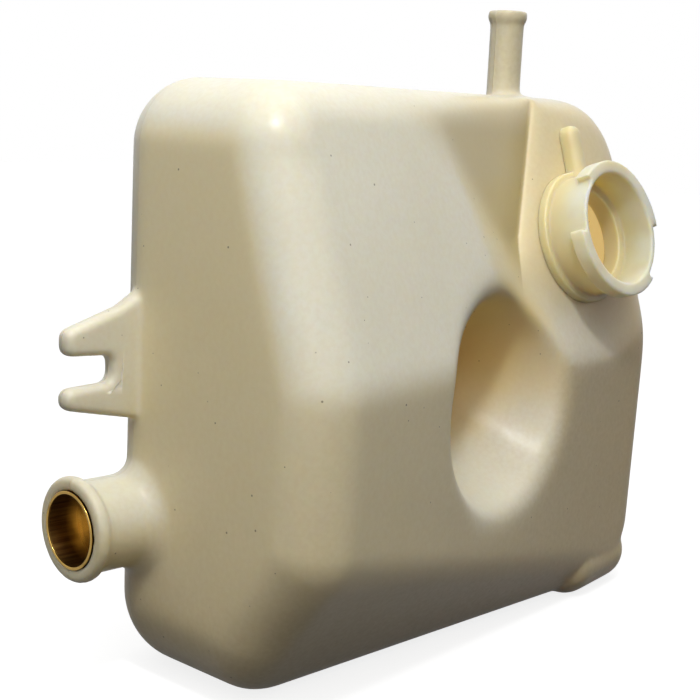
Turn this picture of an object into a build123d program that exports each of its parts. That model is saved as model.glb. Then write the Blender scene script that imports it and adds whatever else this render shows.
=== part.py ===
from build123d import *
from math import cos, radians, sin, tan
import os

# Coolant expansion tank: blow-moulded body, welded filler neck and brass outlet sleeve.
# Millimetres. X runs along the front from the left wall, the front faces -Y and Z is up. The origin
# is on the outlet spigot's axis, where it meets the left wall in the parting plane (Y = 0).

# Tank body
wall = 3.0
body_width = 304.0
top_rise = 189.5
bottom_drop = 71.5
knee_height = 70.0
front_depth = 113.7
right_depth = 65.55
crown_depth = 26.0
back_margin = 0.6
left_draft = 2.5
right_draft = 2.0
lower_lean = 1.4
bevel_angle = 53.3
bevel_foot = 57.2
top_left_radius = 29.0
top_right_radius = 40.0
low_corner_radius = 37.0
front_roll = 24.0
back_roll = 26.0
knee_roll = 45.0
fold_roll = 30.0

# Foot: the lower right corner, which the bevel leaves full
foot_roll = 16.5
foot_length = 34.0
foot_inset = 23.0

# Dimple in the front
dimple_inset = 149.5
dimple_z = 50.0
dimple_floor_radius = 17.0
dimple_floor_depth = 5.0
dimple_half_angle = 23.5
dimple_floor_roll = 14.0
dimple_rim_roll = 7.0

# Recess for the filler: a flat floor, with a ramp at its foot from below the knee to above it. A
# shoulder falls to a crease beside the floor, which the crease undercuts by a step. Insets are from
# the tank's right end.
recess_lean = 17.5
recess_yaw = 2.0
recess_inset = 20.0
recess_ramp_low = 9.0
recess_ramp_high = 3.0
shoulder_low_inset = 161.0
shoulder_low_z = 114.0
shoulder_high_inset = 191.0
shoulder_high_z = 181.0
crease_low_inset = 116.2
crease_low_z = 110.7
crease_high_inset = 80.0
crease_high_z = 186.0
crease_step = 5.0
crease_draft = 22.0
press_reach = 30.0

# Outlet spigot and its brass sleeve
spigot_od = 40.0
spigot_length = 31.0
spigot_wall = 3.4
spigot_bead_rise = 2.8
spigot_bead_width = 6.0
spigot_bead_round = 2.2
spigot_root_round = 9.0
sleeve_clearance = 0.1
sleeve_wall = 1.0
sleeve_depth = 25.0
sleeve_lip_width = 0.8
sleeve_lip_height = 0.5

# Fork lug on the left wall
fork_thickness = 9.0
fork_reach = 36.0
fork_height = 67.5
fork_root_rise = 31.5
fork_root_drop = 23.0
fork_flare_run = 9.0
fork_flare_drop = 5.5
fork_upper_prong = 10.75
fork_lower_prong = 8.75
fork_slot_width = 11.5
fork_slot_mouth = 13.5
fork_slot_end = 12.8
fork_slot_round = 4.0
fork_tip_round = 3.9
fork_edge_round = 3.0

# Vent pipe on the top
vent_inset = 66.0
vent_od = 17.6
vent_wall = 3.55
vent_height = 44.0
vent_bead_rise = 1.5
vent_bead_height = 5.5
vent_bead_round = 1.2
vent_root_round = 3.0

# Filler neck
neck_inset = 66.0
neck_z = 119.2
neck_height = 26.8
neck_od = 61.0
neck_wall = 2.7
neck_collar_reach = 3.1
neck_collar_height = 5.0
seat_width = 4.8
seat_depth = 17.0
cam_reach = 3.9
cam_height = 8.0
cam_gap = 50.0
cam_gap_angle = -26.0
mouth_round = 1.2
overflow_width = 10.0
overflow_height = 8.5
overflow_reach = 58.0
overflow_side = 5.0
overflow_round = 4.2


def unit(x, y, z):
    return Vector(x, y, z).normalized()


# Sizes and places that follow from these
back_depth = spigot_od / 2 + back_margin
spigot_bore = spigot_od - 2 * spigot_wall
spigot_bead_od = spigot_od + 2 * spigot_bead_rise
vent_bore = vent_od - 2 * vent_wall
vent_bead_od = vent_od + 2 * vent_bead_rise
neck_bore = neck_od - 2 * neck_wall
neck_collar_od = neck_od + 2 * neck_collar_reach
seat_bore = neck_bore - 2 * seat_width
cam_od = neck_od + 2 * cam_reach
dimple_x = body_width - dimple_inset
recess_edge_x = body_width - recess_inset
vent_x = body_width - vent_inset
neck_x = body_width - neck_inset

# Planes of the front: the tall upper face leans back from the knee, the lower face is upright, and
# the bevel runs from the bottom up to the lower face.
yaw_slope = (front_depth - right_depth) / body_width
lean_slope = (right_depth - crown_depth) / (top_rise - knee_height)
knee_point = Vector(0, -front_depth, knee_height)
upper_normal = unit(yaw_slope, -1, lean_slope)
lower_normal = unit(yaw_slope, -1, -tan(radians(lower_lean)))
bevel_point = Vector(0, -bevel_foot, -bottom_drop)
bevel_normal = Vector(0, -sin(radians(bevel_angle)), -cos(radians(bevel_angle)))


def lower_face_y(x, z):
    return -front_depth + x * yaw_slope + (knee_height - z) * tan(radians(lower_lean))


def upper_face_y(x, z):
    return -front_depth + x * yaw_slope + (z - knee_height) * lean_slope


def bevel_z(y):
    return -bottom_drop + (-bevel_foot - y) * tan(radians(bevel_angle))


def recess_y(x, z):
    across = (x - recess_edge_x) * tan(radians(recess_yaw))
    upward = (z - knee_height) * tan(radians(recess_lean)) / cos(radians(recess_yaw))
    return lower_face_y(recess_edge_x, knee_height) + across + upward


def tank_form(inset):
    """The tank's smooth block: its outside, or the same form a wall's thickness further in."""
    left_slope = tan(radians(left_draft))
    right_slope = tan(radians(right_draft))
    blank_y = -front_depth - press_reach
    corners = [
        (-left_slope * back_depth, back_depth),
        (-left_slope * blank_y, blank_y),
        (body_width + right_slope * blank_y, blank_y),
        (body_width + right_slope * back_depth, back_depth),
    ]
    upper = Plane(knee_point - upper_normal * inset, x_dir=(1, yaw_slope, 0), z_dir=upper_normal)
    bevel = Plane(bevel_point - bevel_normal * inset, x_dir=(1, 0, 0), z_dir=bevel_normal)
    lower = Plane(knee_point - lower_normal * inset, x_dir=(1, yaw_slope, 0), z_dir=lower_normal)
    middle_x = body_width / 2
    front_y = lower_face_y(middle_x, knee_height)
    knee_middle = (middle_x, front_y + inset, knee_height)
    fold_middle = (middle_x, front_y + inset, bevel_z(front_y) + inset)
    front_left = (left_slope * front_depth + inset, lower_face_y(0, 0) + inset, knee_height / 2)

    with BuildPart() as form:
        with BuildSketch(Plane.XY.offset(inset - bottom_drop)):
            with BuildLine():
                Polyline(*corners, close=True)
            make_face()
            if inset:
                offset(amount=-inset, kind=Kind.INTERSECTION)
        extrude(amount=top_rise + bottom_drop - 2 * inset)
        top_edges = form.edges().group_by(Axis.Z)[-1].sort_by(Axis.X)
        low_edges = form.edges().group_by(Axis.Z)[0].sort_by(Axis.X)
        fillet(top_edges[0], top_left_radius - inset)
        fillet(top_edges[-1], top_right_radius - inset)
        fillet([low_edges[0], low_edges[-1]], low_corner_radius - inset)
        split(bisect_by=lower, keep=Keep.BOTTOM)
        split(bisect_by=upper, keep=Keep.BOTTOM)
        split(bisect_by=bevel, keep=Keep.BOTTOM)
        fillet(form.edges().sort_by_distance(knee_middle)[0], knee_roll - inset)
        fillet(form.edges().sort_by_distance(fold_middle)[0], fold_roll - inset)
        fillet(form.edges().sort_by_distance(front_left)[0], front_roll - inset)
        fillet(form.faces().sort_by(Axis.Y)[-1].edges(), back_roll - inset)
        foot_end_x = body_width - foot_inset
        foot_start_x = foot_end_x - foot_length
        foot_z = foot_roll - bottom_drop
        foot_y = foot_roll + lower_face_y(foot_start_x, foot_z)
        foot_end_y = foot_roll + lower_face_y(foot_end_x, foot_z)
        foot_axis = Vector(foot_end_x - foot_start_x, foot_end_y - foot_y, 0)
        with BuildSketch(Plane((foot_start_x, foot_y, foot_z), z_dir=foot_axis)):
            Circle(foot_roll - inset)
        extrude(amount=foot_axis.length)
        with Locations((foot_start_x, foot_y, foot_z), (foot_end_x, foot_end_y, foot_z)):
            Sphere(foot_roll - inset)
    return form.part


def dimple_tool(grow):
    """Cone that presses the dimple in, or the same cone a wall's thickness larger all round."""
    slope = tan(radians(dimple_half_angle))
    spread = grow / cos(radians(dimple_half_angle)) - grow * slope
    floor_radius = dimple_floor_radius + spread
    floor_y = -dimple_floor_depth + grow
    reach = front_depth + press_reach
    mouth_radius = floor_radius + (floor_y + reach) * slope
    with BuildPart() as cone:
        with BuildSketch(Plane.XY.offset(dimple_z)):
            with BuildLine():
                Polyline(
                    (dimple_x, floor_y),
                    (dimple_x + floor_radius, floor_y),
                    (dimple_x + mouth_radius, -reach),
                    (dimple_x, -reach),
                    close=True,
                )
            make_face()
        revolve(axis=Axis((dimple_x, 0, dimple_z), (0, 1, 0)))
        fillet(cone.edges().group_by(Axis.Y)[-1], dimple_floor_roll + grow)
    return cone.part


def face_through(first, second, third):
    """Plane through three points of the tank's front, facing outward."""
    across = second - first
    facing = across.cross(third - first)
    if facing.Y > 0:
        facing = -facing
    return Plane(first, x_dir=across, z_dir=facing)


def pressed_wedge(faces, grow):
    """Block in front of the tank, cut back to the pressed faces, which are moved in by grow."""
    with BuildPart() as wedge:
        with BuildSketch(Plane.XY):
            with BuildLine():
                Polyline(
                    (0, back_depth),
                    (0, -front_depth - press_reach),
                    (body_width + press_reach, -front_depth - press_reach),
                    (body_width + press_reach, back_depth),
                    close=True,
                )
            make_face()
        extrude(amount=top_rise + press_reach)
        for face_plane in faces:
            split(bisect_by=face_plane.offset(-grow), keep=Keep.TOP)
    return wedge.part


def recess_tools(grow):
    """Wedges that press in the recess and the shoulder beside it, or both a wall's thickness larger."""

    def on_floor(x, z, depth=0.0):
        return Vector(x, recess_y(x, z) + depth, z)

    def on_upper_face(x, z):
        return Vector(x, upper_face_y(x, z), z)

    def on_lower_face(x, z):
        return Vector(x, lower_face_y(x, z), z)

    crease_low = on_floor(body_width - crease_low_inset, crease_low_z, crease_step)
    crease_high = on_floor(body_width - crease_high_inset, crease_high_z, crease_step)
    shoulder_low = on_upper_face(body_width - shoulder_low_inset, shoulder_low_z)
    shoulder_high = on_upper_face(body_width - shoulder_high_inset, shoulder_high_z)
    step_rise = Vector(sin(radians(crease_draft)), -cos(radians(crease_draft)), 0)
    ramp_left = on_lower_face(dimple_x, knee_height - recess_ramp_low)
    ramp_right = on_lower_face(body_width, knee_height - recess_ramp_low)
    ramp_head = on_floor(neck_x, knee_height + recess_ramp_high)

    floor_foot = on_floor(neck_x, knee_height)
    floor = face_through(on_floor(dimple_x, neck_z), on_floor(neck_x, neck_z), floor_foot)
    shoulder = face_through(crease_low, crease_high, shoulder_high)
    shoulder_foot = face_through(crease_low, shoulder_low, shoulder_high)
    step_side = face_through(crease_low, crease_high, crease_low + step_rise)
    ramp = face_through(ramp_left, ramp_right, ramp_head)
    return [
        pressed_wedge([floor, shoulder, shoulder_foot, ramp], grow),
        pressed_wedge([step_side, shoulder, shoulder_foot, ramp], grow),
    ]


# Planes of the fittings: the spigot's axis runs out to -X, the fork lies in the parting plane, and
# the neck stands on the recess floor.
spigot_plane = Plane((0, 0, 0), x_dir=(0, -1, 0), z_dir=(-1, 0, 0))
fork_plane = Plane.XZ
neck_side = Vector(cos(radians(recess_yaw)), sin(radians(recess_yaw)), 0)
neck_axis = Vector(
    sin(radians(recess_yaw)) * cos(radians(recess_lean)),
    -cos(radians(recess_yaw)) * cos(radians(recess_lean)),
    sin(radians(recess_lean)),
)
neck_foot = Vector(neck_x, recess_y(neck_x, neck_z), neck_z)
neck_plane = Plane(neck_foot, x_dir=neck_side, z_dir=neck_axis)

# The cavity: the tank's form, the dimple and the recess, all a wall's thickness further in.
with BuildPart() as cavity:
    add(tank_form(wall))
    add(dimple_tool(wall), mode=Mode.SUBTRACT)
    add(recess_tools(wall), mode=Mode.SUBTRACT)

# Fork lug: two rounded prongs with a slot that opens to the left, in the parting plane.
with BuildPart() as fork:
    slot_top = fork_height + fork_slot_width / 2
    slot_low = fork_height - fork_slot_width / 2
    mouth_top = fork_height + fork_slot_mouth / 2
    mouth_low = fork_height - fork_slot_mouth / 2
    root_top = fork_height + fork_root_rise
    root_low = fork_height - fork_root_drop
    with BuildSketch(fork_plane) as fork_sketch:
        with BuildLine():
            Polyline(
                (wall, root_top),
                (0, root_top),
                (-fork_flare_run, root_top - fork_flare_drop),
                (-fork_reach, mouth_top + fork_upper_prong),
                (-fork_reach, mouth_top),
                (-fork_slot_end, slot_top),
                (-fork_slot_end, slot_low),
                (-fork_reach, mouth_low),
                (-fork_reach, mouth_low - fork_lower_prong),
                (0, root_low),
                (wall, root_low),
                close=True,
            )
        make_face()
        fillet(fork_sketch.vertices().group_by(Axis.X)[0], fork_tip_round)
        slot_corners = fork_sketch.vertices().filter_by(lambda v: abs(v.X + fork_slot_end) < 0.01)
        fillet(slot_corners, fork_slot_round)
    extrude(amount=fork_thickness / 2, both=True)
    outline = fork.faces().group_by(Axis.Y)[0].edges() + fork.faces().group_by(Axis.Y)[-1].edges()
    fillet(outline.filter_by(lambda e: e.center().X < wall - 0.01), fork_edge_round)

# Tank body: dimple with a rolled rim, then the recess, then the fittings blown in one with it.
with BuildPart() as tank_body:
    add(tank_form(0))
    add(dimple_tool(0), mode=Mode.SUBTRACT)
    cone_face = tank_body.faces().filter_by(GeomType.CONE).sort_by(SortBy.AREA)[-1]
    floor_limit = -dimple_floor_depth - dimple_floor_roll
    rim = cone_face.edges().filter_by(GeomType.LINE, reverse=True)
    fillet(rim.filter_by(lambda e: e.center().Y < floor_limit), dimple_rim_roll)
    add(recess_tools(0), mode=Mode.SUBTRACT)

    # Outlet spigot with its end bead; the root runs in past the rounded back corner.
    with BuildSketch(spigot_plane.offset(-back_roll)):
        Circle(spigot_od / 2)
    extrude(amount=back_roll + spigot_length)
    spigot_side = tank_body.faces().filter_by(GeomType.CYLINDER).sort_by(Axis.X)[0]
    spigot_root = spigot_side.edges().filter_by(GeomType.LINE, reverse=True).sort_by(Axis.X)[1:]
    fillet(spigot_root, spigot_root_round)
    with BuildSketch(spigot_plane.offset(spigot_length - spigot_bead_width)):
        Circle(spigot_bead_od / 2)
    extrude(amount=spigot_bead_width)
    bead_edges = tank_body.edges().filter_by(GeomType.CIRCLE).filter_by(
        lambda e: abs(e.radius - spigot_bead_od / 2) < 0.01 and e.center().X < 0
    )
    fillet(bead_edges, spigot_bead_round)

    add(fork.part)

    # Vent pipe with its end bead.
    with BuildSketch(Plane.XY.offset(top_rise - back_roll)):
        with Locations((vent_x, 0)):
            Circle(vent_od / 2)
    extrude(amount=back_roll + vent_height)
    with BuildSketch(Plane.XY.offset(top_rise + vent_height - vent_bead_height)):
        with Locations((vent_x, 0)):
            Circle(vent_bead_od / 2)
    extrude(amount=vent_bead_height)
    vent_rim = tank_body.edges().filter_by(GeomType.CIRCLE).filter_by(
        lambda e: abs(e.radius - vent_bead_od / 2) < 0.01 and e.center().Z > top_rise
    )
    fillet(vent_rim, vent_bead_round)
    vent_side = tank_body.faces().filter_by(GeomType.CYLINDER).filter_by(
        lambda f: abs(f.radius - vent_od / 2) < 0.01 and f.center().Z > top_rise
    )
    vent_base = vent_side.edges().filter_by(GeomType.LINE, reverse=True).sort_by(Axis.Z)[:-1]
    fillet(vent_base, vent_root_round)

    # Hollow, then the three ways in.
    add(cavity.part, mode=Mode.SUBTRACT)
    with BuildSketch(spigot_plane.offset(spigot_length)):
        Circle(spigot_bore / 2)
    extrude(amount=-spigot_length - back_roll, mode=Mode.SUBTRACT)
    with BuildSketch(Plane.XY.offset(top_rise + vent_height)):
        with Locations((vent_x, 0)):
            Circle(vent_bore / 2)
    extrude(amount=-vent_height - back_roll, mode=Mode.SUBTRACT)
    with BuildSketch(neck_plane):
        Circle(seat_bore / 2)
    extrude(amount=-press_reach / 2, mode=Mode.SUBTRACT)

# Filler neck: overflow tube, collar, and a bored cylinder with two bayonet cams.
with BuildPart() as filler_neck:
    with BuildSketch(neck_plane):
        with Locations((overflow_side, overflow_reach / 2)):
            SlotOverall(overflow_reach, overflow_width, rotation=90)
    extrude(amount=overflow_height)
    fillet(filler_neck.faces().sort_by(Axis(neck_foot, neck_axis))[-1].edges(), overflow_round)
    with BuildSketch(neck_plane):
        Circle(neck_collar_od / 2)
    extrude(amount=neck_collar_height)
    with BuildSketch(neck_plane):
        Circle(neck_od / 2)
    extrude(amount=neck_height)
    with BuildSketch(neck_plane.offset(neck_height - cam_height)):
        Circle(cam_od / 2)
        with PolarLocations(cam_od / 2, 2, start_angle=cam_gap_angle):
            Rectangle(cam_od - neck_bore, cam_od * sin(radians(cam_gap / 2)), mode=Mode.SUBTRACT)
    extrude(amount=cam_height)
    with BuildSketch(neck_plane.offset(neck_height)):
        Circle(neck_bore / 2)
    extrude(amount=-seat_depth, mode=Mode.SUBTRACT)
    with BuildSketch(neck_plane.offset(neck_height)):
        Circle(seat_bore / 2)
    extrude(amount=-neck_height, mode=Mode.SUBTRACT)
    mouth_face = filler_neck.faces().sort_by(Axis(neck_foot, neck_axis))[-1]
    fillet(mouth_face.inner_wires()[0].edges(), mouth_round)

# Brass sleeve: a thin tube with a turned lip that rests on the spigot's end.
with BuildPart() as outlet_sleeve:
    with BuildSketch(spigot_plane.offset(spigot_length)):
        Circle(spigot_bore / 2 - sleeve_clearance)
    extrude(amount=-sleeve_depth)
    with BuildSketch(spigot_plane.offset(spigot_length)):
        Circle(spigot_bore / 2 + sleeve_lip_width)
    extrude(amount=sleeve_lip_height)
    with BuildSketch(spigot_plane.offset(spigot_length + sleeve_lip_height)):
        Circle(spigot_bore / 2 - sleeve_clearance - sleeve_wall)
    extrude(amount=-sleeve_depth - sleeve_lip_height, mode=Mode.SUBTRACT)

tank_body.part.label = "tank_body"
filler_neck.part.label = "filler_neck"
outlet_sleeve.part.label = "outlet_sleeve"

os.makedirs("parts", exist_ok=True)
export_step(tank_body.part, "parts/tank_body.step")
export_step(filler_neck.part, "parts/filler_neck.step")
export_step(outlet_sleeve.part, "parts/outlet_sleeve.step")
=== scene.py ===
"""Looks of a coolant expansion tank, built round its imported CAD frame. Metres, +Z up, front to -Y."""

import bmesh
import bpy
import numpy as np
from mathutils import Matrix, Vector


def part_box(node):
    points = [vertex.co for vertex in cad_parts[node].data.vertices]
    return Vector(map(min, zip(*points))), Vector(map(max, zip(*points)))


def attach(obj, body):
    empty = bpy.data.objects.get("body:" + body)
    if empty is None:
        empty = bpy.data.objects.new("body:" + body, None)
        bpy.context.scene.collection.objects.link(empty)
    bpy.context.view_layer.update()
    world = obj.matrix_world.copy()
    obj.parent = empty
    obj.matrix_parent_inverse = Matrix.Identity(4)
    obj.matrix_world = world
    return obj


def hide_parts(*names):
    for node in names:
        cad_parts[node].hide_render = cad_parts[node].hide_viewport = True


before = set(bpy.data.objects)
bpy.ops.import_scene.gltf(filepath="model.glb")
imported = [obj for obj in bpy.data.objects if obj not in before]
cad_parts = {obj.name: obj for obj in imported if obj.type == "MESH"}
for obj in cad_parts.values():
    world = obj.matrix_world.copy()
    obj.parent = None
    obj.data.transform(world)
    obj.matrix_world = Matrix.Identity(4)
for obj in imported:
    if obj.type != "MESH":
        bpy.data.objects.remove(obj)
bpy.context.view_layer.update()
scene = bpy.context.scene
scene.view_settings.view_transform = "Standard"

MM = 0.001

# Camera, as fitted to the photograph's 700 x 700 frame
CAMERA_PLACE = Vector((-0.356813, -0.477842, 0.179919))
CAMERA_RIGHT = Vector((0.7043, -0.7083, 0.0472))
CAMERA_UP = Vector((0.0877, 0.1527, 0.9844))
CAMERA_BACK = Vector((-0.7045, -0.6892, 0.1697))
CAMERA_SENSOR = 36.0
CAMERA_LENS = 72.44
CAMERA_NEAR = 0.01

# Skins: the CAD triangles are joined, remeshed evenly and eased, as a blown wall is
JOIN_DISTANCE = 0.01 * MM
TANK_VOXEL = 1.1 * MM
TANK_TRIANGLES = 190_000
NECK_VOXEL = 0.5 * MM
EASE_FACTOR = 0.5
EASE_STEPS = 20
SKIN_EASE_PASSES = 8
SKIN_EASE_AT_CREASE = 0.15
FOLD_EASE_PASSES = 240
LAST_EASE_PASSES = 4
NECK_EASE_PASSES = 14
TINT_EVEN_ROUNDS = 16

# Below, a pair says where a change starts and where it is full, and a third number how softly a band
# between the first two ends. Lengths and places are in mm; facing and lean are parts of a wall's normal.

# The crease beside the filler's recess, which stays crisp, the shoulder on its left, and the eased folds
CREASE_LOW = np.array((187.8, -54.2, 110.7))
CREASE_HIGH = np.array((224.0, -29.2, 186.0))
SHOULDER_HIGH = np.array((113.0, -59.1, 181.0))
CREASE_OVERRUN = 1.1
CREASE_CRISP = 1.5
CREASE_SOFT = 13.0
CREASE_SOFT_RIGHT = 6.0
FOLDS_X = (115, 290, 25)
FOLDS_Y = (-140, -16, 10)
FOLDS_Z = (70, 192, 20)

# The dimple, in a front wall that slopes back along X, drawn in on its lower right; its softer rim
DIMPLE_X = 154.5
DIMPLE_Z = 50.0
DIMPLE_AXIS_CLEAR = 0.01
FRONT_Y = -113.7
FRONT_SLOPE = 0.158
DIMPLE_OPENING = 16.0
OPENED_RIGHT = 0.75
OPENED_DOWN = 0.66
OPENED_SECTOR = (0.0, 0.9)
OPENED_DEPTH = (13, 80)
OPENED_DEPTH_END = (98, 88)
OPENED_RADIUS = (6, 24)
OPENED_RADIUS_END = (75, 55)
RIM_RADIUS = (22, 60, 14)
RIM_Y = (-30, -45)
RIM_RIGHT = 0.8
RIM_DOWN = 0.6
RIM_SECTOR = (-18, 18)

# Painted warm shade: amber on side, low and steep faces and deep in the dimple; how much of it, and where
LOW_FRONT_AMBER = 0.38
LOW_FRONT_LEAN = (0.30, -0.05)
LOW_FRONT_Z = (100, 60)
END_WALL_AMBER = 0.45
END_WALL_FACING = (0.92, 0.995)
RECESS_AMBER = 0.42
RECESS_X = (120, 190)
RECESS_Z = (70, 110)
RECESS_FACING = (0.2, 0.6)
DIMPLE_AMBER = 0.85
DIMPLE_RADIUS = (60, 46)
DIMPLE_DEEP_Y = (-68, -46)
DIMPLE_DEEP_RISE = 0.5
RIGHT_END_AMBER = 0.6
RIGHT_END_X = (220, 290)
RIGHT_END_LEAN = (0.6, 0.2)
FORK_PALING = 0.8
FORK_X = (-3, -12)
FORK_Z = (30, 45)
VENT_PALING = 0.6
VENT_FOOT_Z = (188, 195)

# Painted ochre shade on the shoulder, across from its left edge and from the crease, and darker painted
# shade by the crease
SHOULDER_LEFT = (-30, 14)
SHOULDER_END = (0.4, -0.4)
SHOULDER_FADE = (-20, 0)
SHOULDER_FADED = 0.8
SHOULDER_TOP_Z = (188, 170)
SHOULDER_Y = (-19, -25)
CREASE_SHADE = 0.4
CREASE_SHADE_ACROSS = (-26, -2)

# Painted shade low down, on faces turned down or away from the lamps, and on the vent; a darker recess
# floor; how much, where
UNDERSIDE_SHADE = 0.55
UNDERSIDE_LEAN = (0.2, 0.6)
UNDERSIDE_Y = (-50, -60)
UNDERSIDE_Z = (0, -25)
FRONT_SHADE_LEFT = 0.1
FRONT_SHADE_GAIN = 0.35
FRONT_SHADE_X = (30, 260)
FRONT_SHADE_Z = (85, 45)
FRONT_SHADE_FACING = (0.5, 0.9)
LOW_END_SHADE = 0.35
LOW_END_Z = (5, -50)
LOW_END_FACING = (0.3, 0.8)
CORNER_SHADE = 0.25
CORNER_FACING = (0.45, 0.85, 0.25)
CORNER_Z = (70, -10)
VENT_SHADE = 0.36
VENT_Z = (190, 200)
RECESS_DARKENING = 0.15
RECESS_FLOOR_X = (195, 215)
RECESS_FLOOR_Z = (95, 120)

# Painted glow: the inner wall behind the filler emits light, in place of the room light that the thin walls
# let in
INNER_MIDDLE = np.array((235.0, -15.0, 95.0))
INNER_FACING = (2, 8)
INNER_X = (190, 200)
INNER_Z = (182, 172)
INNER_GLOW = 0.3

# Neck: its axis from the foot, and the heights between which its amber foot turns cream
NECK_FOOT = Vector((238.0, -54.8, 119.2))
NECK_AXIS = Vector((0.0333, -0.9531, 0.3007))
NECK_PALE_HEIGHT = 24
NECK_AMBER_HEIGHT = 6
NECK_AMBER_SHARE = 0.85

# Brass sleeve: its lip is the widest part
SLEEVE_RADIUS = 16.5
SLEEVE_WALL = 1.0
SLEEVE_LIP_WIDTH = 0.25
SLEEVE_LIP_HEIGHT = 0.5
SLEEVE_LIP_ROUND = 0.2
SLEEVE_ROUND_MIDDLE = 0.3
SLEEVE_SEGMENTS = 160
# Painted dark reflection inside the mouth: where it starts behind the lip, and where it fades further in
MOUTH_SHADE_START = (0.4, 0.9)
MOUTH_SHADE_END = (9, 18)

# Finish of the plastics: patterns per metre, bump heights in mm, and shares. Roughness keeps above 0.28,
# below which the denoiser breaks the grain up into dashes.
CLOUD_SCALE = 14
CLOUD_TONES = (0.34, 0.68)
GRAIN_SCALE = 420
GRAIN_RANGE = (0.3, 0.7)
MOTTLE_RANGE = (0.35, 0.7)
MOTTLE_SHARE = 0.22
SHADE_THROUGH_GRAIN = 0.8
TANK_ROUGHNESS = (0.29, 0.34)
TANK_SPECULAR = 0.35
TANK_DEPTH = 5
TANK_DEPTH_SHARE = 0.5
TANK_DEPTH_COLOR = (1.0, 0.75, 0.35)
PEEL_SCALE, PEEL_HEIGHT, PEEL_STRENGTH = 220, 0.08, 0.3
FINE_SCALE, FINE_HEIGHT, FINE_STRENGTH = 1400, 0.03, 0.25
SEAM_OFF_PLANE = (0.6, 0.15)
SEAM_HEIGHT, SEAM_STRENGTH, SEAM_TINT = 0.3, 0.8, 0.25
COARSE_SPECKS = {"scale": 85, "share": 0.45, "radius": 0.05}
FINE_SPECKS = {"scale": 210, "share": 0.10, "radius": 0.08}
SPECK_CORE = 0.6
SPECK_TINT = 0.7
NECK_CLOUD_SCALE = 40
NECK_CLOUD_TONES = (0.4, 0.85)
NECK_GRAIN_SCALE = 600
NECK_GRAIN_RANGE = (0.45, 0.75)
NECK_GRAIN_SHARE = 0.08
NECK_ROUGHNESS = (0.29, 0.36)
NECK_PEEL_SCALE, NECK_PEEL_HEIGHT, NECK_PEEL_STRENGTH = 300, 0.05, 0.25
NECK_DEPTH = 8
NECK_DEPTH_SHARE = 0.95
NECK_DEPTH_COLOR = (1.0, 0.8, 0.4)
PLASTIC_IOR = 1.5

# Finish of the brass: lines drawn along X, and a film in patches
LINE_SCALE = 900
LINE_STRETCH = (0.04, 1, 1)
LINE_RANGE = (0.3, 0.6)
LINE_SHARE = 0.8
LINE_HEIGHT, LINE_STRENGTH = 0.03, 0.6
PATCH_SCALE = 110
PATCH_RANGE = (0.5, 0.75)
PATCH_SHARE = 0.7
BRASS_ROUGHNESS = (0.2, 0.42)

# Colours, linear
WHITE = (1, 1, 1, 1)
CREAM = (0.76, 0.725, 0.58, 1)
CREAM_PALE = (0.80, 0.77, 0.65, 1)
CREAM_WARM = (0.68, 0.60, 0.41, 1)
CREAM_AMBER_SHADE = (0.87, 0.68, 0.27, 1)
CREAM_OCHRE_SHADE = (0.56, 0.46, 0.23, 1)
CREAM_SHADED = (0.35, 0.27, 0.11, 1)
INNER_COLOR = (1.0, 0.80, 0.40, 1)
NECK_CREAM = (0.82, 0.80, 0.67, 1)
NECK_AMBER = (0.72, 0.62, 0.34, 1)
SPECK_BROWN = (0.09, 0.055, 0.03, 1)
BRASS = (0.66, 0.42, 0.11, 1)
BRASS_DARK = (0.10, 0.045, 0.012, 1)

# Floor and sky: white to look at; the sky lights the tank from above, and the floor throws little back up
FLOOR_HALF = 4.0
FLOOR_SHADE = (0.35, 0.35, 0.35, 1)
FLOOR_BOUNCE = (0.05, 0.042, 0.03, 1)
FLOOR_GLOW = 0.82
FLOOR_GLOW_MIRRORED = 0.2
SKY_MIDDLE_HEIGHT = 0.45
SKY_ZENITH = (1.14, 1.14, 1.14, 1)
SKY_MIDDLE = (0.05, 0.05, 0.04, 1)
SKY_HORIZON = (0.03, 0.03, 0.02, 1)

# Lamps: name, direction from the tank's middle, distance, size, watts
LAMPS = (
    ("key", (-0.42, -0.42, 0.80), 0.8, 0.09, 2.3),
    ("left_high", (-0.75, -0.55, 0.60), 0.9, 0.9, 3.0),
    ("top", (0.0, -0.1, 1.0), 0.9, 0.5, 1.2),
)

tank_low, tank_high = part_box("tank_body")
sleeve_low, sleeve_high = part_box("outlet_sleeve")


# Meshes


def link(name, mesh):
    piece = bpy.data.objects.new(name, mesh)
    scene.collection.objects.link(piece)
    return piece


def joined_copy(node, name):
    """A copy of a CAD node, its loose triangles joined into one skin."""
    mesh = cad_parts[node].data.copy()
    mesh.name = name
    skin = bmesh.new()
    skin.from_mesh(mesh)
    bmesh.ops.remove_doubles(skin, verts=skin.verts, dist=JOIN_DISTANCE)
    skin.to_mesh(mesh)
    skin.free()
    return link(name, mesh)


def baked(piece):
    """The piece with its modifiers made part of its mesh."""
    bpy.context.view_layer.update()
    evaluated = piece.evaluated_get(bpy.context.evaluated_depsgraph_get())
    mesh = bpy.data.meshes.new_from_object(evaluated)
    mesh.name = piece.name
    piece.modifiers.clear()
    piece.vertex_groups.clear()
    piece.data = mesh
    return piece


def even_skin(piece, voxel):
    remesh = piece.modifiers.new("even_skin", "REMESH")
    remesh.mode = "VOXEL"
    remesh.voxel_size = voxel
    return baked(piece)


def vertex_places(piece):
    """Where each vertex is, in mm."""
    places = np.empty(len(piece.data.vertices) * 3)
    piece.data.vertices.foreach_get("co", places)
    return places.reshape(-1, 3) / MM


def vertex_normals(piece):
    normals = np.empty(len(piece.data.vertices) * 3)
    piece.data.vertex_normals.foreach_get("vector", normals)
    return normals.reshape(-1, 3)


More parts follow.
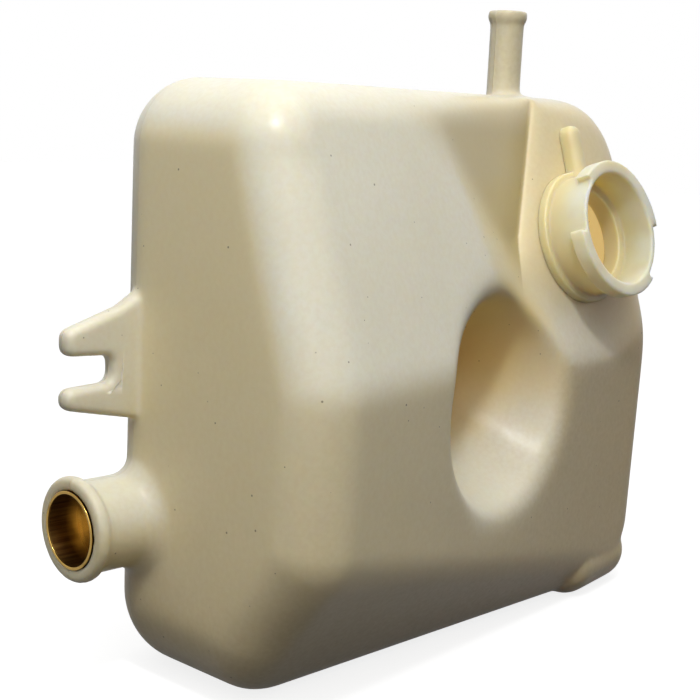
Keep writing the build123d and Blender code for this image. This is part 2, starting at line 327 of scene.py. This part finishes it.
def evened(piece, values):
    """Values for each vertex, averaged with their neighbours' a few times."""
    ends = np.empty(len(piece.data.edges) * 2, dtype=np.int64)
    piece.data.edges.foreach_get("vertices", ends)
    first, second = ends.reshape(-1, 2).T
    count = len(values)
    neighbours = np.bincount(first, minlength=count) + np.bincount(second, minlength=count)
    for _ in range(TINT_EVEN_ROUNDS):
        total = np.bincount(first, values[second], count) + np.bincount(second, values[first], count)
        values = (values + total) / (1 + neighbours)
    return values


def ease(piece, passes, weights=None):
    """Smooths the skin, all over or by a weight for each vertex."""
    smooth = piece.modifiers.new("ease", "SMOOTH")
    smooth.factor = EASE_FACTOR
    smooth.iterations = passes
    if weights is not None:
        group = piece.vertex_groups.new(name="ease")
        steps = np.round(np.clip(weights, 0, 1) * EASE_STEPS).astype(int)
        for step in range(1, EASE_STEPS + 1):
            chosen = np.flatnonzero(steps == step)
            if len(chosen):
                group.add(chosen.tolist(), step / EASE_STEPS, "REPLACE")
        smooth.vertex_group = group.name
    baked(piece)


def thin(piece, triangles):
    """Brings a dense skin down to about that many triangles."""
    count = sum(len(face.vertices) - 2 for face in piece.data.polygons)
    if count > triangles:
        decimate = piece.modifiers.new("thin", "DECIMATE")
        decimate.ratio = triangles / count
        baked(piece)


def shade_smooth(piece):
    piece.data.polygons.foreach_set("use_smooth", [True] * len(piece.data.polygons))
    piece.data.update()


def step_between(values, low, high):
    """0 at low, 1 at high, with a smooth step between them."""
    share = np.clip((values - low) / (high - low), 0, 1)
    return share * share * (3 - 2 * share)


def band_between(values, low, high, soft):
    """1 between low and high, falling to 0 over soft on either side."""
    return step_between(values, low - soft, low) * step_between(values, high + soft, high)


def away_from_crease(places):
    """0 on the crease beside the filler's recess, 1 well away from it."""
    along = CREASE_HIGH - CREASE_LOW
    share = np.clip((places - CREASE_LOW) @ along / (along @ along), 0, CREASE_OVERRUN)
    off = places - CREASE_LOW - share[:, None] * along
    soft = np.where(off[:, 0] > 0, CREASE_SOFT_RIGHT, CREASE_SOFT)
    return step_between(np.linalg.norm(off, axis=1), CREASE_CRISP, soft)


def folds(places):
    """1 on the folds round the filler's recess, where the blown wall flows from one face to the next."""
    x, y, z = places.T
    return band_between(x, *FOLDS_X) * band_between(z, *FOLDS_Z) * band_between(y, *FOLDS_Y)


def opened_dimple(places):
    """The dimple with its lower right wall drawn in, so that it opens more widely there."""
    right, up = places[:, 0] - DIMPLE_X, places[:, 2] - DIMPLE_Z
    radius = np.maximum(np.hypot(right, up), DIMPLE_AXIS_CLEAR)
    depth = places[:, 1] - FRONT_Y - places[:, 0] * FRONT_SLOPE
    sector = step_between((OPENED_RIGHT * right - OPENED_DOWN * up) / radius, *OPENED_SECTOR)
    level = step_between(depth, *OPENED_DEPTH) * step_between(depth, *OPENED_DEPTH_END)
    ring = step_between(radius, *OPENED_RADIUS) * step_between(radius, *OPENED_RADIUS_END)
    inward = DIMPLE_OPENING * sector * level * ring
    moved = places.copy()
    moved[:, 0] -= right / radius * inward
    moved[:, 2] -= up / radius * inward
    return moved


def soft_rim(places):
    """1 on the dimple's lower and right rim, which rolls over more softly than its left one."""
    right, up = places[:, 0] - DIMPLE_X, places[:, 2] - DIMPLE_Z
    ring = band_between(np.hypot(right, up), *RIM_RADIUS) * step_between(places[:, 1], *RIM_Y)
    return ring * step_between(RIM_RIGHT * right - RIM_DOWN * up, *RIM_SECTOR)


def warm_painted_shade(places, normals):
    """How much painted warm shade each vertex takes, amber on side, low and steep faces and deep in the
    dimple: 0 to 1.
    """
    x, y, z = places.T
    out_x, out_y, out_z = normals.T
    low_front = step_between(out_z, *LOW_FRONT_LEAN) * step_between(z, *LOW_FRONT_Z)
    end_wall = step_between(-out_x, *END_WALL_FACING)
    recess = step_between(x, *RECESS_X) * step_between(z, *RECESS_Z) * step_between(-out_y, *RECESS_FACING)
    in_dimple = step_between(np.hypot(x - DIMPLE_X, z - DIMPLE_Z), *DIMPLE_RADIUS)
    dimple = in_dimple * step_between(y + DIMPLE_DEEP_RISE * (z - DIMPLE_Z), *DIMPLE_DEEP_Y)
    right_end = step_between(x, *RIGHT_END_X) * step_between(out_z, *RIGHT_END_LEAN)
    # The largest share of painted warm shade
    drawn = np.max([
        LOW_FRONT_AMBER * low_front,
        END_WALL_AMBER * end_wall,
        RECESS_AMBER * recess,
        DIMPLE_AMBER * dimple,
        RIGHT_END_AMBER * right_end,
    ], axis=0)
    fork = step_between(x, *FORK_X) * step_between(z, *FORK_Z)
    vent = step_between(z, *VENT_FOOT_Z)
    return drawn * (1 - FORK_PALING * fork) * (1 - VENT_PALING * vent)


def dark_painted_shade(places, normals):
    """How far the wall is darkened: painted shade low down, on faces turned down or away from the lamps and
    on the vent, and a darker recess floor; 0 to 1 for each vertex.
    """
    x, y, z = places.T
    out_x, out_y, out_z = normals.T
    underside = step_between(y, *UNDERSIDE_Y) * step_between(z, *UNDERSIDE_Z)
    to_the_right = FRONT_SHADE_LEFT + FRONT_SHADE_GAIN * step_between(x, *FRONT_SHADE_X)
    low_front = step_between(z, *FRONT_SHADE_Z) * step_between(-out_y, *FRONT_SHADE_FACING)
    low_end = step_between(z, *LOW_END_Z) * step_between(-out_x, *LOW_END_FACING)
    corner = band_between(-out_x, *CORNER_FACING) * step_between(z, *CORNER_Z)
    recess_floor = step_between(x, *RECESS_FLOOR_X) * step_between(z, *RECESS_FLOOR_Z)
    return np.max([
        UNDERSIDE_SHADE * underside * step_between(-out_z, *UNDERSIDE_LEAN),
        to_the_right * low_front,
        LOW_END_SHADE * low_end,
        CORNER_SHADE * corner,
        VENT_SHADE * step_between(z, *VENT_Z),
        RECESS_DARKENING * recess_floor,
    ], axis=0)


def inner_painted_glow(places, normals):
    """1 on the inner wall round the filler, where it faces the middle of the room behind the neck; there it
    glows as painted light.
    """
    x, _, z = places.T
    facing = ((INNER_MIDDLE - places) * normals).sum(axis=1)
    return step_between(facing, *INNER_FACING) * step_between(x, *INNER_X) * step_between(z, *INNER_Z)


def swept_ring(name, profile, radius, segments, material):
    """A ring about the X axis: the profile, (outward, along X) points in metres, swept round it."""
    mesh = bpy.data.meshes.new(name)
    count = len(profile)
    mesh.from_pydata([(*point, 0) for point in profile], [(i, (i + 1) % count) for i in range(count)], [])
    ring = link(name, mesh)
    tree = bpy.data.node_groups.new("swept_ring", "GeometryNodeTree")
    face = tree.interface
    face.new_socket("Profile", in_out="INPUT", socket_type="NodeSocketGeometry")
    radius_socket = face.new_socket("Radius", in_out="INPUT", socket_type="NodeSocketFloat")
    segments_socket = face.new_socket("Segments", in_out="INPUT", socket_type="NodeSocketInt")
    material_socket = face.new_socket("Material", in_out="INPUT", socket_type="NodeSocketMaterial")
    face.new_socket("Ring", in_out="OUTPUT", socket_type="NodeSocketGeometry")
    sizes = tree.nodes.new("NodeGroupInput")
    outline = tree.nodes.new("GeometryNodeMeshToCurve")
    circle = tree.nodes.new("GeometryNodeCurvePrimitiveCircle")
    sweep = tree.nodes.new("GeometryNodeCurveToMesh")
    turn = tree.nodes.new("GeometryNodeTransform")
    whole = tree.nodes.new("GeometryNodeRealizeInstances")
    paint = tree.nodes.new("GeometryNodeSetMaterial")
    result = tree.nodes.new("NodeGroupOutput")
    turn.inputs["Rotation"].default_value = (0, -np.pi / 2, 0)
    for source, target in (
        (sizes.outputs["Profile"], outline.inputs["Mesh"]),
        (sizes.outputs["Radius"], circle.inputs["Radius"]),
        (sizes.outputs["Segments"], circle.inputs["Resolution"]),
        (circle.outputs["Curve"], sweep.inputs["Curve"]),
        (outline.outputs["Curve"], sweep.inputs["Profile Curve"]),
        (sweep.outputs["Mesh"], turn.inputs["Geometry"]),
        (turn.outputs["Geometry"], whole.inputs["Geometry"]),
        (whole.outputs["Geometry"], paint.inputs["Geometry"]),
        (sizes.outputs["Material"], paint.inputs["Material"]),
        (paint.outputs["Geometry"], result.inputs["Ring"]),
    ):
        tree.links.new(source, target)
    modifier = ring.modifiers.new("swept_ring", "NODES")
    modifier.node_group = tree
    modifier[radius_socket.identifier] = radius
    modifier[segments_socket.identifier] = segments
    modifier[material_socket.identifier] = material
    return baked(ring)


# Materials


def in_metres(pair):
    return tuple(length * MM for length in pair)


class Nodes:
    """A node tree, with short ways to add and join nodes."""

    def __init__(self, tree, coordinates):
        self.tree = tree
        self.place = self.add("ShaderNodeTexCoord").outputs[coordinates]

    def add(self, kind, **settings):
        node = self.tree.nodes.new(kind)
        for key, value in settings.items():
            setattr(node, key, value)
        return node

    def join(self, source, target):
        self.tree.links.new(source, target)

    def noise(self, scale, detail=3.0, roughness=0.5, place=None):
        node = self.add("ShaderNodeTexNoise")
        node.inputs["Scale"].default_value = scale
        node.inputs["Detail"].default_value = detail
        node.inputs["Roughness"].default_value = roughness
        self.join(place or self.place, node.inputs["Vector"])
        return node.outputs["Fac"]

    def ramp(self, value, *stops):
        node = self.add("ShaderNodeValToRGB")
        elements = node.color_ramp.elements
        while len(elements) < len(stops):
            elements.new(0.5)
        for element, (position, color) in zip(elements, stops):
            element.position = position
            element.color = color
        self.join(value, node.inputs["Fac"])
        return node.outputs["Color"]

    def remap(self, value, low, high, to_low=0.0, to_high=1.0, smooth=False):
        node = self.add("ShaderNodeMapRange")
        if smooth:
            node.interpolation_type = "SMOOTHSTEP"
        for name, number in (("From Min", low), ("From Max", high), ("To Min", to_low), ("To Max", to_high)):
            node.inputs[name].default_value = number
        self.join(value, node.inputs["Value"])
        return node.outputs["Result"]

    def math(self, operation, first, second):
        node = self.add("ShaderNodeMath", operation=operation)
        for socket, value in zip(node.inputs, (first, second)):
            if isinstance(value, (int, float)):
                socket.default_value = value
            else:
                self.join(value, socket)
        return node.outputs["Value"]

    def product(self, first, *others):
        for other in others:
            first = self.math("MULTIPLY", first, other)
        return first

    def mix(self, share, first, second):
        node = self.add("ShaderNodeMix", data_type="RGBA")
        sockets = {socket.identifier: socket for socket in (*node.inputs, *node.outputs)}
        for name, value in (("Factor_Float", share), ("A_Color", first), ("B_Color", second)):
            if isinstance(value, (float, tuple)):
                sockets[name].default_value = value
            else:
                self.join(value, sockets[name])
        return sockets["Result_Color"]

    def bump(self, height, distance, strength, normal=None):
        """A bump of that many mm, on top of another one if it is given."""
        node = self.add("ShaderNodeBump")
        node.inputs["Strength"].default_value = strength
        node.inputs["Distance"].default_value = distance * MM
        self.join(height, node.inputs["Height"])
        if normal is not None:
            self.join(normal, node.inputs["Normal"])
        return node.outputs["Normal"]

    def axes(self):
        node = self.add("ShaderNodeSeparateXYZ")
        self.join(self.place, node.inputs["Vector"])
        return node.outputs["X"], node.outputs["Y"], node.outputs["Z"]

    def wall_share(self, tint):
        return self.add("ShaderNodeAttribute", attribute_name=tint.__name__).outputs["Fac"]

    def sight(self):
        """1 for what the camera sees directly, and 1 for what it sees mirrored or through glass."""
        path = self.add("ShaderNodeLightPath").outputs
        mirrored = self.math("MAXIMUM", path["Is Glossy Ray"], path["Is Transmission Ray"])
        return path["Is Camera Ray"], mirrored


class Finish(Nodes):
    """A material's node tree, on Object coordinates, and its one shader."""

    def __init__(self, name):
        self.material = bpy.data.materials.new(name)
        self.material.use_nodes = True
        super().__init__(self.material.node_tree, "Object")
        self.shader = self.tree.nodes["Principled BSDF"]

    def drive(self, **sources):
        for name, source in sources.items():
            self.join(source, self.shader.inputs[name.replace("_", " ")])

    def set(self, **values):
        for name, value in values.items():
            self.shader.inputs[name.replace("_", " ")].default_value = value


def specks(nodes, scale, share, radius):
    """1 on dots in that share of the cells, radius as a share of a cell."""
    cells = nodes.add("ShaderNodeTexVoronoi", feature="F1")
    cells.inputs["Scale"].default_value = scale
    nodes.join(nodes.place, cells.inputs["Vector"])
    near = nodes.remap(cells.outputs["Distance"], radius, radius * SPECK_CORE)
    pick = nodes.add("ShaderNodeSeparateColor")
    nodes.join(cells.outputs["Color"], pick.inputs["Color"])
    return nodes.product(near, nodes.math("LESS_THAN", pick.outputs["Red"], share))


def parting_line(nodes):
    """1 on the fine ridge that the two halves of the mould leave in the plane Y = 0."""
    off_plane = nodes.math("ABSOLUTE", nodes.axes()[1], 0)
    return nodes.remap(off_plane, *in_metres(SEAM_OFF_PLANE), smooth=True)


def beside_line(nodes, low, high):
    """How far X lies to the right of the line through two places, seen from the front, in metres."""
    slope = float((high[0] - low[0]) / (high[2] - low[2]))
    start = float(low[0] - low[2] * slope) * MM
    x, _, z = nodes.axes()
    return nodes.math("SUBTRACT", nodes.math("SUBTRACT", x, nodes.product(z, slope)), start)


def shoulder_shade(nodes, from_crease):
    """Painted shade on the shoulder beside the filler's recess, which faces away from the light: soft on its
    left, sharp at the crease.
    """
    _, y, z = nodes.axes()
    from_left = beside_line(nodes, CREASE_LOW, SHOULDER_HIGH)
    return nodes.product(
        nodes.remap(from_left, *in_metres(SHOULDER_LEFT), smooth=True),
        nodes.remap(from_crease, *in_metres(SHOULDER_END)),
        nodes.remap(from_crease, *in_metres(SHOULDER_FADE), to_low=SHOULDER_FADED),
        nodes.remap(z, *in_metres(SHOULDER_TOP_Z), smooth=True),
        nodes.remap(y, *in_metres(SHOULDER_Y)),
    )


def natural_plastic():
    """Satin, slightly translucent blown plastic, with a faint orange peel, mottling and specks."""
    nodes = Finish("natural_plastic")
    cloud = nodes.noise(CLOUD_SCALE, detail=4, roughness=0.6)
    grain = nodes.noise(GRAIN_SCALE, detail=2)
    color = nodes.ramp(cloud, *zip(CLOUD_TONES, (CREAM, CREAM_PALE)))
    color = nodes.mix(nodes.remap(grain, *MOTTLE_RANGE, to_high=MOTTLE_SHARE), color, CREAM_WARM)
    # Painted warm shade: amber on walls turned sideways or down, and deep in the dimple
    color = nodes.mix(nodes.wall_share(warm_painted_shade), color, CREAM_AMBER_SHADE)
    from_crease = beside_line(nodes, CREASE_LOW, CREASE_HIGH)
    shoulder = shoulder_shade(nodes, from_crease)
    # Painted shade on the shoulder, and darker painted shade along the crease beside it
    color = nodes.mix(shoulder, color, CREAM_OCHRE_SHADE)
    crease_shade = nodes.remap(from_crease, *in_metres(CREASE_SHADE_ACROSS), to_high=CREASE_SHADE)
    color = nodes.mix(nodes.product(shoulder, crease_shade), color, CREAM_SHADED)
    # Painted shade, low down and on faces turned away from the lamps, broken up by the grain
    uneven = nodes.remap(grain, *GRAIN_RANGE, to_low=SHADE_THROUGH_GRAIN)
    color = nodes.mix(nodes.product(nodes.wall_share(dark_painted_shade), uneven), color, CREAM_SHADED)
    dots = nodes.math("MAXIMUM", specks(nodes, **COARSE_SPECKS), specks(nodes, **FINE_SPECKS))
    color = nodes.mix(nodes.product(dots, SPECK_TINT), color, SPECK_BROWN)
    seam = parting_line(nodes)
    color = nodes.mix(nodes.product(seam, SEAM_TINT), color, CREAM_WARM)
    peel = nodes.bump(nodes.noise(PEEL_SCALE, detail=2), PEEL_HEIGHT, PEEL_STRENGTH)
    fine = nodes.bump(nodes.noise(FINE_SCALE, detail=2), FINE_HEIGHT, FINE_STRENGTH, peel)
    nodes.drive(
        Base_Color=color,
        Roughness=nodes.remap(grain, *GRAIN_RANGE, *TANK_ROUGHNESS),
        Normal=nodes.bump(seam, SEAM_HEIGHT, SEAM_STRENGTH, fine),
        # Painted glow on the inner wall behind the filler
        Emission_Strength=nodes.product(nodes.wall_share(inner_painted_glow), INNER_GLOW),
    )
    nodes.set(Emission_Color=INNER_COLOR, IOR=PLASTIC_IOR, Specular_IOR_Level=TANK_SPECULAR)
    nodes.set(Subsurface_Weight=TANK_DEPTH_SHARE, Subsurface_Scale=TANK_DEPTH * MM)
    nodes.set(Subsurface_Radius=TANK_DEPTH_COLOR)
    nodes.material.cycles.emission_sampling = "NONE"
    return nodes.material


def neck_plastic():
    """Glossier moulded plastic of the neck, more yellow than the tank."""
    nodes = Finish("neck_plastic")
    cloud = nodes.noise(NECK_CLOUD_SCALE, detail=3)
    grain = nodes.noise(NECK_GRAIN_SCALE, detail=2)
    tone = nodes.ramp(cloud, *zip(NECK_CLOUD_TONES, (NECK_CREAM, NECK_AMBER)))
    height = nodes.add("ShaderNodeVectorMath", operation="DOT_PRODUCT")
    nodes.join(nodes.place, height.inputs[0])
    height.inputs[1].default_value = NECK_AXIS
    foot = NECK_AXIS.dot(NECK_FOOT)
    heights = in_metres((foot + NECK_PALE_HEIGHT, foot + NECK_AMBER_HEIGHT))
    low = nodes.remap(height.outputs["Value"], *heights, to_high=NECK_AMBER_SHARE, smooth=True)
    grained = nodes.remap(grain, *NECK_GRAIN_RANGE, to_high=NECK_GRAIN_SHARE)
    nodes.drive(
        Base_Color=nodes.mix(nodes.math("MAXIMUM", low, grained), tone, NECK_AMBER),
        Roughness=nodes.remap(grain, *GRAIN_RANGE, *NECK_ROUGHNESS),
        Normal=nodes.bump(nodes.noise(NECK_PEEL_SCALE, detail=2), NECK_PEEL_HEIGHT, NECK_PEEL_STRENGTH),
    )
    nodes.set(IOR=PLASTIC_IOR, Subsurface_Weight=NECK_DEPTH_SHARE, Subsurface_Scale=NECK_DEPTH * MM)
    nodes.set(Subsurface_Radius=NECK_DEPTH_COLOR)
    return nodes.material


def drawn_brass():
    """Drawn brass: a bright lip, a painted dark reflection inside the mouth, tarnish in patches, and gold
    with fine lines further in.
    """
    nodes = Finish("drawn_brass")
    stretch = nodes.add("ShaderNodeMapping")
    stretch.inputs["Scale"].default_value = LINE_STRETCH
    nodes.join(nodes.place, stretch.inputs["Vector"])
    lines = nodes.noise(LINE_SCALE, detail=2, place=stretch.outputs["Vector"])
    patches = nodes.noise(PATCH_SCALE, detail=3, roughness=0.6)
    behind_mouth = nodes.math("SUBTRACT", nodes.axes()[0], sleeve_low.x)
    behind_lip = nodes.remap(behind_mouth, *in_metres(MOUTH_SHADE_START))
    deep = nodes.remap(behind_mouth, *in_metres(MOUTH_SHADE_END))
    shade_and_film = nodes.product(behind_lip, nodes.math("SUBTRACT", 1.0, deep))
    # Painted dark reflection inside the mouth, with tarnish in patches added
    shade_and_film = nodes.math("MAXIMUM", shade_and_film, nodes.remap(patches, *PATCH_RANGE, to_high=PATCH_SHARE))
    darkened_share = nodes.product(shade_and_film, nodes.remap(lines, *LINE_RANGE, to_low=LINE_SHARE))
    nodes.drive(
        Base_Color=nodes.mix(darkened_share, BRASS, BRASS_DARK),
        Roughness=nodes.remap(shade_and_film, 0.0, 1.0, *BRASS_ROUGHNESS),
        Normal=nodes.bump(lines, LINE_HEIGHT, LINE_STRENGTH),
    )
    nodes.set(Metallic=1.0)
    return nodes.material


def pale_floor():
    """Matt floor that is white to look at but for the tank's shadow, and throws little light back up."""
    nodes = Finish("pale_floor")
    direct, mirrored = nodes.sight()
    glow = nodes.math(
        "MAXIMUM", nodes.product(direct, FLOOR_GLOW), nodes.product(mirrored, FLOOR_GLOW_MIRRORED)
    )
    nodes.drive(
        Base_Color=nodes.mix(nodes.math("MAXIMUM", direct, mirrored), FLOOR_BOUNCE, FLOOR_SHADE),
        Emission_Strength=glow,
    )
    nodes.set(Roughness=1.0, Specular_IOR_Level=0.0, Emission_Color=WHITE)
    return nodes.material


# Pieces


def dress(piece, node, material):
    """Lets a remade skin stand for its CAD node."""
    piece.data.materials.clear()
    piece.data.materials.append(material)
    shade_smooth(piece)
    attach(piece, "root")
    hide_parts(node)


def make_tank_shell():
    shell = even_skin(joined_copy("tank_body", "tank_shell"), TANK_VOXEL)
    places = vertex_places(shell)
    shell.data.vertices.foreach_set("co", (opened_dimple(places) * MM).ravel())
    open_wall = away_from_crease(places)
    ease(shell, SKIN_EASE_PASSES, SKIN_EASE_AT_CREASE + (1 - SKIN_EASE_AT_CREASE) * open_wall)
    ease(shell, FOLD_EASE_PASSES, np.maximum(folds(places), soft_rim(places)) * open_wall)
    thin(shell, TANK_TRIANGLES)
    ease(shell, LAST_EASE_PASSES, away_from_crease(vertex_places(shell)))
    places, normals = vertex_places(shell), vertex_normals(shell)
    for tint in (warm_painted_shade, dark_painted_shade, inner_painted_glow):
        shares = shell.data.attributes.new(tint.__name__, "FLOAT", "POINT")
        shares.data.foreach_set("value", evened(shell, tint(places, normals)))
    dress(shell, "tank_body", natural_plastic())


def make_neck():
    neck = even_skin(joined_copy("filler_neck", "neck_moulding"), NECK_VOXEL)
    ease(neck, NECK_EASE_PASSES)
    dress(neck, "filler_neck", neck_plastic())


def make_sleeve():
    """A thin tube with a turned lip, swept round the outlet's axis."""
    outer = SLEEVE_RADIUS * MM
    lip_radius = outer + SLEEVE_LIP_WIDTH * MM
    inner = outer - SLEEVE_WALL * MM
    mouth, end, soft = sleeve_low.x, sleeve_high.x, SLEEVE_LIP_ROUND * MM
    softer = SLEEVE_ROUND_MIDDLE * soft
    shoulder = mouth + SLEEVE_LIP_HEIGHT * MM
    profile = [
        (inner, end),
        (inner, mouth + soft),
        (inner + softer, mouth + softer),
        (inner + soft, mouth),
        (lip_radius - soft, mouth),
        (lip_radius - softer, mouth + softer),
        (lip_radius, mouth + soft),
        (lip_radius, shoulder),
        (outer, shoulder),
        (outer, end),
    ]
    brass = drawn_brass()
    swept = [(outward - inner, along) for outward, along in profile]
    sleeve = swept_ring("brass_sleeve", swept, inner, SLEEVE_SEGMENTS, brass)
    dress(sleeve, "outlet_sleeve", brass)


# Stage


def make_floor():
    level, half = tank_low.z, FLOOR_HALF
    mesh = bpy.data.meshes.new("floor")
    corners = [(-half, -half, level), (half, -half, level), (half, half, level), (-half, half, level)]
    mesh.from_pydata(corners, [], [(0, 1, 2, 3)])
    mesh.materials.append(pale_floor())
    floor = link("floor", mesh)


def make_world():
    """Soft room light, strong from above and weak towards the horizon; white to look at."""
    world = bpy.data.worlds.new("studio")
    world.use_nodes = True
    scene.world = world
    nodes = Nodes(world.node_tree, "Generated")
    height = nodes.axes()[2]
    sky = nodes.ramp(height, (0.0, SKY_HORIZON), (SKY_MIDDLE_HEIGHT, SKY_MIDDLE), (1.0, SKY_ZENITH))
    seen = nodes.math("MAXIMUM", *nodes.sight())
    nodes.join(nodes.mix(seen, sky, WHITE), world.node_tree.nodes["Background"].inputs["Color"])


def area_lamp(name, direction, distance, size, power):
    """A square lamp that shines on the tank's middle from that direction."""
    middle = (tank_low + tank_high) / 2
    away = Vector(direction).normalized()
    light = bpy.data.lights.new(name, "AREA")
    light.size = size
    light.energy = power
    lamp = bpy.data.objects.new(name, light)
    lamp.location = middle + away * distance
    lamp.rotation_euler = away.to_track_quat("Z", "Y").to_euler()
    scene.collection.objects.link(lamp)


def make_camera():
    camera = bpy.data.cameras.new("camera")
    camera.sensor_width = CAMERA_SENSOR
    camera.lens = CAMERA_LENS
    camera.clip_start = CAMERA_NEAR
    holder = bpy.data.objects.new("camera", camera)
    turn = Matrix((CAMERA_RIGHT, CAMERA_UP, CAMERA_BACK)).transposed().to_4x4()
    holder.matrix_world = Matrix.Translation(CAMERA_PLACE) @ turn
    scene.collection.objects.link(holder)
    scene.camera = holder


make_tank_shell()
make_neck()
make_sleeve()
make_floor()
make_world()
for lamp in LAMPS:
    area_lamp(*lamp)
make_camera()
